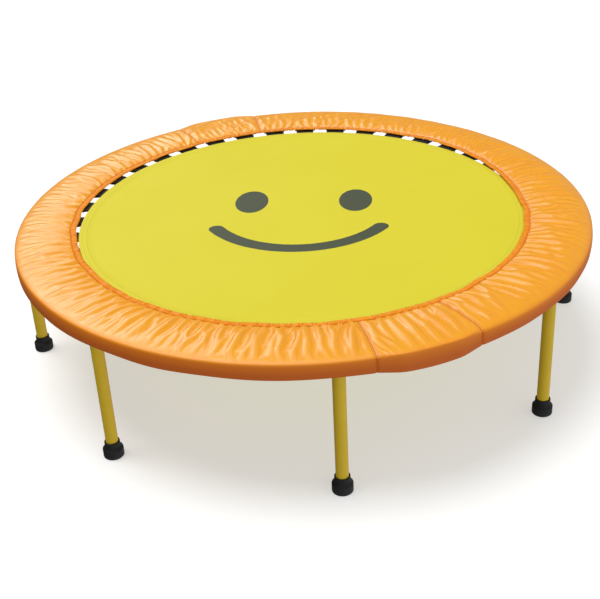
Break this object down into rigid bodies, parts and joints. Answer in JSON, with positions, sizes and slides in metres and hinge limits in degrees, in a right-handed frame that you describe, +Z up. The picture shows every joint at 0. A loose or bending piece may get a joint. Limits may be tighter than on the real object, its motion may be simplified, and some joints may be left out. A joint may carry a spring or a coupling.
{
  "type": "mini trampoline",
  "caption": "Round mini trampoline whose frame folds in half, with screw-in legs on rubber feet, a mat on springs and an orange padded ring over the springs.",
  "frame": {"origin": "on the floor under the middle of the mat", "axes": "+Z up, Y along the fold axis with the front hinge at -Y, +X towards the half that folds over"},
  "size_m": [1.22, 1.2344, 0.291],
  "materials": {
    "yellow_paint": "satin powder coat",
    "zinc": "bright zinc",
    "black_webbing": "woven",
    "black_rubber": "moulded matt",
    "mat_cloth": "tight weave",
    "pad_cloth": "coated cloth with a soft sheen",
    "foam": "open foam"
  },
  "bodies": {
    "left_half": {"left_frame_tube": "yellow_paint", "left_leg_bosses": "yellow_paint", "front_hinge_bracket": "yellow_paint", "rear_hinge_bracket": "yellow_paint", "front_hinge_pin": "zinc", "rear_hinge_pin": "zinc", "left_springs": "zinc", "left_pad_foam": "foam", "left_pad_cover": "pad_cloth", "left_pad_hem": "pad_cloth", "front_hinge_cover": "pad_cloth", "rear_hinge_cover": "pad_cloth"},
    "right_half": {"right_frame_tube": "yellow_paint", "right_leg_bosses": "yellow_paint", "front_hinge_tongue": "yellow_paint", "rear_hinge_tongue": "yellow_paint", "right_springs": "zinc", "right_pad_foam": "foam", "right_pad_cover": "pad_cloth", "right_pad_hem": "pad_cloth"},
    "mat_left": {"left_mat": "mat_cloth", "left_mat_tabs": "black_webbing", "left_mat_rings": "zinc"},
    "mat_right": {"right_mat": "mat_cloth", "right_mat_tabs": "black_webbing", "right_mat_rings": "zinc"},
    "leg_1": {"leg_tube_1": "yellow_paint", "leg_stud_1": "zinc", "foot_1": "black_rubber"},
    "leg_2": {"leg_tube_2": "yellow_paint", "leg_stud_2": "zinc", "foot_2": "black_rubber"},
    "leg_3": {"leg_tube_3": "yellow_paint", "leg_stud_3": "zinc", "foot_3": "black_rubber"},
    "leg_4": {"leg_tube_4": "yellow_paint", "leg_stud_4": "zinc", "foot_4": "black_rubber"},
    "leg_5": {"leg_tube_5": "yellow_paint", "leg_stud_5": "zinc", "foot_5": "black_rubber"},
    "leg_6": {"leg_tube_6": "yellow_paint", "leg_stud_6": "zinc", "foot_6": "black_rubber"},
    "leg_7": {"leg_tube_7": "yellow_paint", "leg_stud_7": "zinc", "foot_7": "black_rubber"},
    "leg_8": {"leg_tube_8": "yellow_paint", "leg_stud_8": "zinc", "foot_8": "black_rubber"}
  },
  "joints": [
    {"name": "frame_fold", "type": "hinge", "parent": "left_half", "child": "right_half", "pos_m": [0, 0, 0.278], "axis": [0, -1, 0], "range_deg": [0, 160], "deforming": ["front_hinge_cover", "rear_hinge_cover"]},
    {"name": "left_mat_bounce", "type": "slide", "parent": "left_half", "child": "mat_left", "axis": [0, 0, 1], "range_m": [-0.1, 0], "stiffness_N_per_m": 3000, "springref_m": 0.003, "deforming": ["left_springs"]},
    {"name": "right_mat_bounce", "type": "slide", "parent": "right_half", "child": "mat_right", "axis": [0, 0, 1], "range_m": [-0.1, 0], "stiffness_N_per_m": 3000, "springref_m": 0.003, "deforming": ["right_springs"]},
    {"name": "leg_1_screw", "type": "hinge", "parent": "left_half", "child": "leg_1", "pos_m": [-0.16128, -0.57376, 0], "axis": [0, 0, 1], "continuous": true},
    {"name": "leg_2_screw", "type": "hinge", "parent": "right_half", "child": "leg_2", "pos_m": [0.29167, -0.51975, 0], "axis": [0, 0, 1], "continuous": true},
    {"name": "leg_3_screw", "type": "hinge", "parent": "right_half", "child": "leg_3", "pos_m": [0.57376, -0.16128, 0], "axis": [0, 0, 1], "continuous": true},
    {"name": "leg_4_screw", "type": "hinge", "parent": "right_half", "child": "leg_4", "pos_m": [0.51975, 0.29167, 0], "axis": [0, 0, 1], "continuous": true},
    {"name": "leg_5_screw", "type": "hinge", "parent": "right_half", "child": "leg_5", "pos_m": [0.16128, 0.57376, 0], "axis": [0, 0, 1], "continuous": true},
    {"name": "leg_6_screw", "type": "hinge", "parent": "left_half", "child": "leg_6", "pos_m": [-0.29167, 0.51975, 0], "axis": [0, 0, 1], "continuous": true},
    {"name": "leg_7_screw", "type": "hinge", "parent": "left_half", "child": "leg_7", "pos_m": [-0.57376, 0.16128, 0], "axis": [0, 0, 1], "continuous": true},
    {"name": "leg_8_screw", "type": "hinge", "parent": "left_half", "child": "leg_8", "pos_m": [-0.51975, -0.29167, 0], "axis": [0, 0, 1], "continuous": true}
  ],
  "couplings": [
    {"joint": "right_mat_bounce", "follows": "left_mat_bounce", "ratio": 1}
  ]
}
